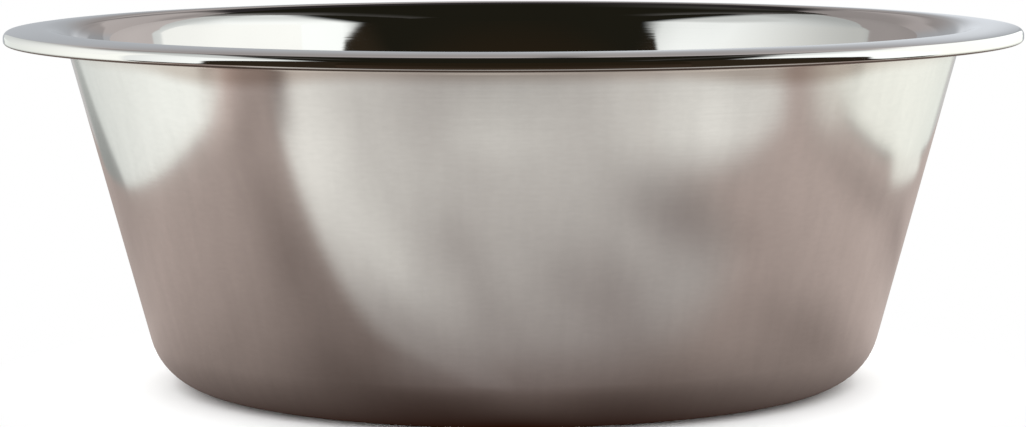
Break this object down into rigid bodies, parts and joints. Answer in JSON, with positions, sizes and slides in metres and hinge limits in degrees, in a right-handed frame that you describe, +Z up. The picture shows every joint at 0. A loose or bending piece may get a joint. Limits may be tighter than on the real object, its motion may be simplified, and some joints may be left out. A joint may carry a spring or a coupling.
{
  "type": "dog bowl",
  "caption": "Round tapered feeding bowl of drawn stainless steel with a wide turned-out rim, a rolled edge and a flat foot round a raised centre panel.",
  "frame": {"origin": "centre of the foot, on the surface that the bowl stands on", "axes": "+Z up along the bowl's own axis; the bowl is round, so X and Y are alike, and the picture looks along +Y"},
  "size_m": [0.28, 0.28, 0.0992],
  "materials": {
    "steel": "satin outside, polished inside and on the rim"
  },
  "bodies": {
    "root": {"bowl": "steel"}
  },
  "joints": []
}
